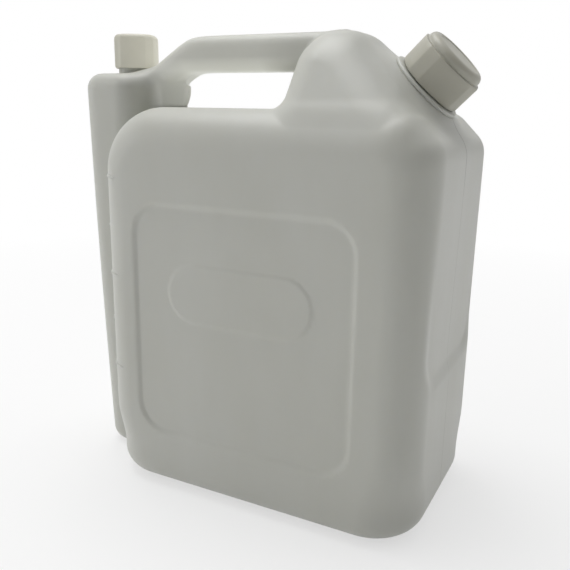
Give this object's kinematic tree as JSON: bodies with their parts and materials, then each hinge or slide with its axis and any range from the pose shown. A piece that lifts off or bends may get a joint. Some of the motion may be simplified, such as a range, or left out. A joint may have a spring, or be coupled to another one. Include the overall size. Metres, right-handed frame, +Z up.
{
  "type": "fuel mixing bottle",
  "caption": "Blow-moulded plastic bottle with a fuel chamber, a narrow oil chamber beside it, a hollow carrying handle and a screw cap on each neck.",
  "frame": {"origin": "middle of the overall box, seen from above, on the surface that the bottle stands on", "axes": "+Z up, +X towards the filler cap's side, -X towards the oil chamber, -Y towards the front"},
  "size_m": [0.1612, 0.085, 0.1814],
  "materials": {
    "bottle": "translucent natural polyethylene, waxy",
    "caps": "translucent natural polyethylene, slightly yellowish",
    "discs": "soft white sealing disc"
  },
  "bodies": {
    "bottle": {"bottle": "bottle"},
    "filler_disc": {"filler_cap_disc": "discs"},
    "filler_cap": {"filler_cap": "caps"},
    "oil_disc": {"oil_cap_disc": "discs"},
    "oil_cap": {"oil_cap": "caps"}
  },
  "joints": [
    {"name": "filler_cap_lift", "type": "slide", "parent": "bottle", "child": "filler_disc", "axis": [0.7071, 0, 0.7071], "range_m": [0, 0.0112]},
    {"name": "filler_cap_turn", "type": "hinge", "parent": "filler_disc", "child": "filler_cap", "pos_m": [0.06043, 0, 0.15846], "axis": [0.7071, 0, 0.7071], "range_deg": [0, 1010]},
    {"name": "oil_cap_lift", "type": "slide", "parent": "bottle", "child": "oil_disc", "axis": [0, 0, 1], "range_m": [0, 0.0114]},
    {"name": "oil_cap_turn", "type": "hinge", "parent": "oil_disc", "child": "oil_cap", "pos_m": [-0.06581, 0, 0.1652], "axis": [0, 0, 1], "range_deg": [0, 1370]}
  ],
  "couplings": [
    {"joint": "filler_cap_turn", "follows": "filler_cap_lift", "rad_per_m": 1570.8},
    {"joint": "oil_cap_turn", "follows": "oil_cap_lift", "rad_per_m": 2094.4}
  ]
}
